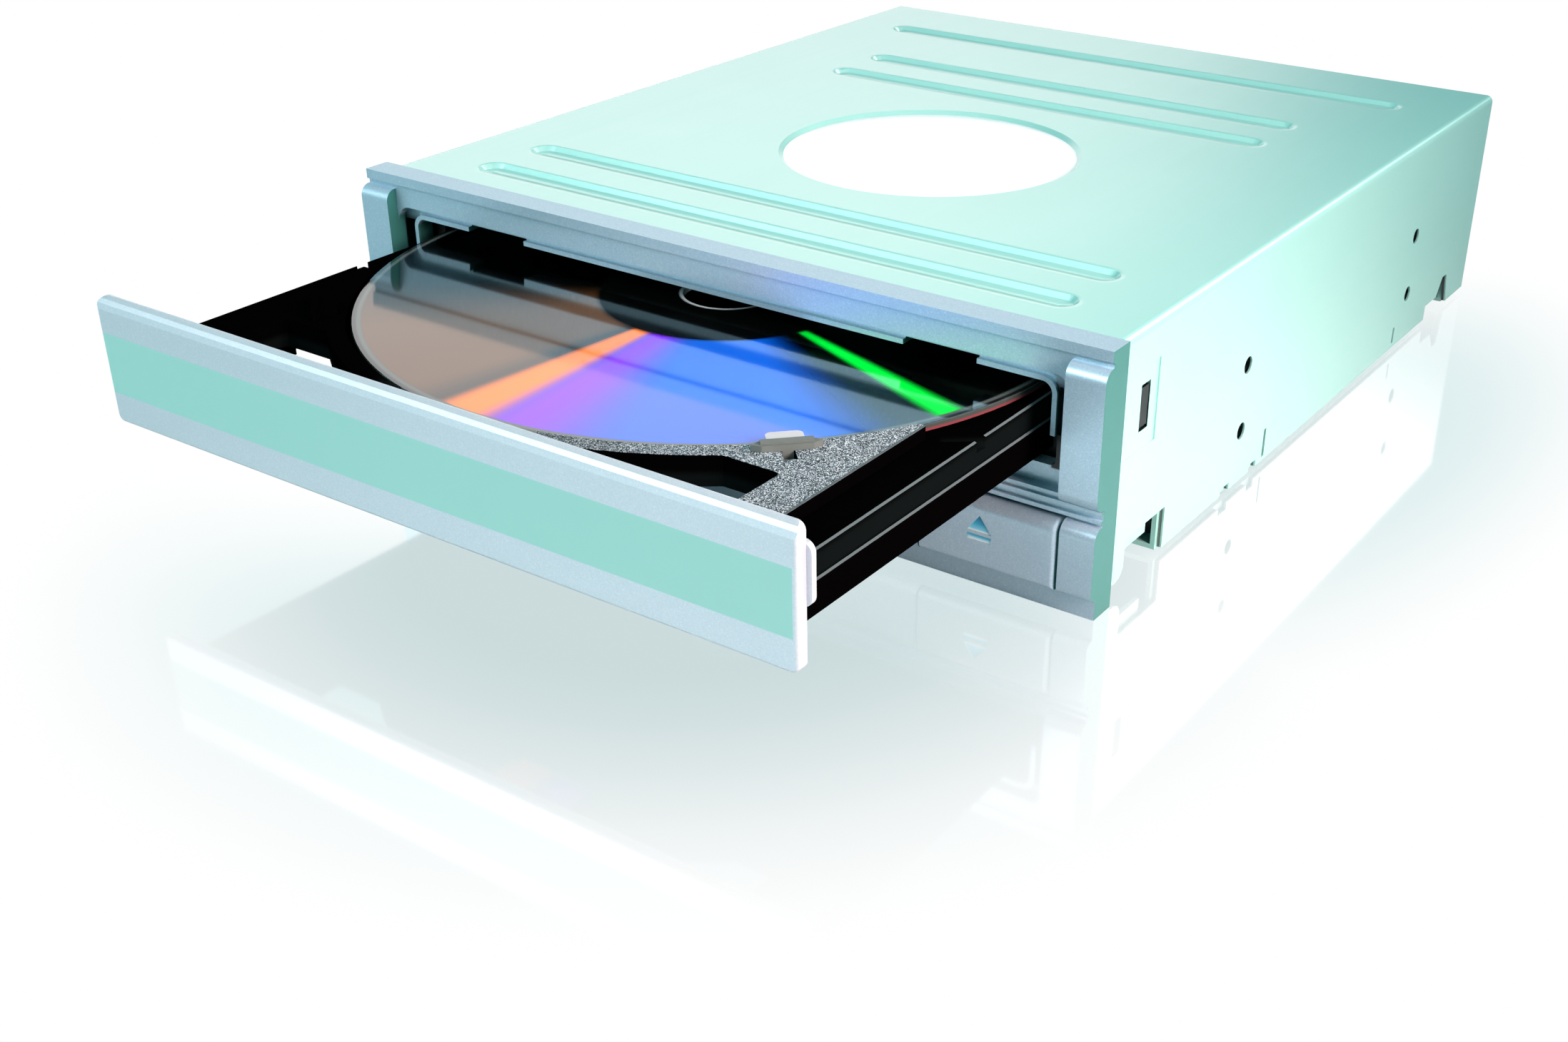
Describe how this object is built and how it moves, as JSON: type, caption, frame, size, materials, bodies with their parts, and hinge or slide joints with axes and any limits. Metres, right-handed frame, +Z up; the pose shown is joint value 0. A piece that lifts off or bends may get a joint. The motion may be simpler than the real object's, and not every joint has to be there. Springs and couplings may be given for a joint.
{
  "type": "internal disc drive",
  "caption": "Internal half-height disc drive with its tray part open: steel case, silver bezel, eject button, tray with disc, loader gears, spindle and pickup.",
  "frame": {"origin": "centre of the four bottom mounting holes, on the underside of the case", "axes": "+X to the right seen from the front, +Y to the rear, +Z up; the tray slides out along -Y"},
  "size_m": [0.1482, 0.2312, 0.0428],
  "materials": {
    "cover_steel": "satin",
    "bezel_silver": "satin",
    "symbol_clear": "gloss",
    "light_clear": "gloss",
    "tray_black": "satin",
    "clip_grey": "matte",
    "disc_mirror": "polished",
    "frame_plastic": "matte",
    "white_plastic": "satin",
    "belt_rubber": "matte",
    "bright_steel": "polished",
    "traverse_plastic": "matte",
    "sled_metal": "satin",
    "lens_glass": "gloss",
    "magnet": "matte",
    "board_green": "satin",
    "chip_black": "matte",
    "capacitor_blue": "gloss",
    "socket_white": "satin",
    "pin_brass": "polished"
  },
  "bodies": {
    "drive_body": {"activity_light": "light_clear", "audio_socket": "chip_black", "board_capacitors": "capacitor_blue", "board_chips": "chip_black", "bottom_cover": "cover_steel", "cam_slider": "frame_plastic", "clamp_bridge": "bright_steel", "cover_screws": "bright_steel", "damper_screws": "bright_steel", "data_socket": "chip_black", "drive_belt": "belt_rubber", "eject_switch": "chip_black", "front_bezel": "bezel_silver", "front_board": "board_green", "indicator_led": "light_clear", "jumper_base": "chip_black", "loader_frame": "frame_plastic", "loading_motor": "bright_steel", "main_board": "board_green", "main_guide_rod": "bright_steel", "power_socket": "socket_white", "rubber_dampers": "belt_rubber", "sled_motor": "bright_steel", "socket_pins": "pin_brass", "spindle_motor_base": "bright_steel", "sub_guide_rod": "bright_steel", "top_cover": "cover_steel", "traverse_chassis": "traverse_plastic"},
    "tray_body": {"tray": "tray_black", "tray_front_panel": "bezel_silver"},
    "clip_front_right": {"disc_clip_front_right": "clip_grey"},
    "clip_front_left": {"disc_clip_front_left": "clip_grey"},
    "clip_rear_right": {"disc_clip_rear_right": "clip_grey"},
    "clip_rear_left": {"disc_clip_rear_left": "clip_grey"},
    "disc_body": {"disc": "disc_mirror"},
    "button_body": {"eject_button": "bezel_silver", "eject_symbol": "symbol_clear", "switch_plunger": "chip_black"},
    "drive_gear_body": {"tray_drive_gear": "frame_plastic"},
    "pulley_gear_body": {"pulley_gear": "frame_plastic"},
    "motor_pulley_body": {"motor_pulley": "frame_plastic"},
    "spindle_body": {"spindle_rotor": "bright_steel", "turntable": "traverse_plastic", "turntable_pad": "belt_rubber"},
    "clamp_body": {"clamp_puck": "white_plastic", "clamp_magnet": "magnet", "clamp_yoke": "bright_steel"},
    "sled_body": {"pickup_sled": "sled_metal", "objective_lens": "lens_glass", "sled_nut": "white_plastic"},
    "lead_screw_body": {"lead_screw": "bright_steel"}
  },
  "joints": [
    {"name": "tray_slide", "type": "slide", "parent": "drive_body", "child": "tray_body", "axis": [0, -1, 0], "range_m": [-0.0603, 0.0767]},
    {"name": "disc_spin", "type": "hinge", "parent": "tray_body", "child": "disc_body", "pos_m": [0, -0.08313, 0.0315], "axis": [0, 0, 1], "continuous": true},
    {"name": "eject_press", "type": "slide", "parent": "drive_body", "child": "button_body", "axis": [0, 1, 0], "range_m": [0, 0.0006], "stiffness_N_per_m": 600, "springref_m": -0.0006},
    {"name": "drive_gear_spin", "type": "hinge", "parent": "drive_body", "child": "drive_gear_body", "pos_m": [-0.0445, -0.07203, 0.0237], "axis": [0, 0, 1], "range_deg": [-440, 560]},
    {"name": "pulley_gear_spin", "type": "hinge", "parent": "drive_body", "child": "pulley_gear_body", "pos_m": [-0.02728, -0.07203, 0.019], "axis": [0, 0, 1], "range_deg": [-1700, 1340]},
    {"name": "motor_pulley_spin", "type": "hinge", "parent": "drive_body", "child": "motor_pulley_body", "pos_m": [0.003, -0.06953, 0.0177], "axis": [0, 0, 1], "range_deg": [-7400, 5800]},
    {"name": "spindle_spin", "type": "hinge", "parent": "drive_body", "child": "spindle_body", "pos_m": [0, -0.02272, 0.018], "axis": [0, 0, 1], "continuous": true},
    {"name": "clamp_spin", "type": "hinge", "parent": "drive_body", "child": "clamp_body", "pos_m": [0, -0.02272, 0.037], "axis": [0, 0, 1], "continuous": true},
    {"name": "sled_slide", "type": "slide", "parent": "drive_body", "child": "sled_body", "axis": [0, 1, 0], "range_m": [0, 0.031]},
    {"name": "lead_screw_spin", "type": "hinge", "parent": "drive_body", "child": "lead_screw_body", "pos_m": [0.036, 0.02297, 0.014], "axis": [0, 1, 0], "range_deg": [-3730, 5]},
    {"name": "clip_front_right_slide", "type": "slide", "parent": "tray_body", "child": "clip_front_right", "axis": [0.7071, -0.7071, 0], "range_m": [0, 0.0026]},
    {"name": "clip_front_left_slide", "type": "slide", "parent": "tray_body", "child": "clip_front_left", "axis": [-0.7071, -0.7071, 0], "range_m": [-0.0026, 0]},
    {"name": "clip_rear_right_slide", "type": "slide", "parent": "tray_body", "child": "clip_rear_right", "axis": [0.7071, 0.7071, 0], "range_m": [0, 0.0026]},
    {"name": "clip_rear_left_slide", "type": "slide", "parent": "tray_body", "child": "clip_rear_left", "axis": [-0.7071, 0.7071, 0], "range_m": [0, 0.0026]}
  ],
  "couplings": [
    {"joint": "drive_gear_spin", "follows": "tray_slide", "rad_per_m": 125},
    {"joint": "pulley_gear_spin", "follows": "tray_slide", "rad_per_m": -384.62},
    {"joint": "motor_pulley_spin", "follows": "tray_slide", "rad_per_m": -1666.7},
    {"joint": "lead_screw_spin", "follows": "sled_slide", "rad_per_m": -2094.4}
  ]
}
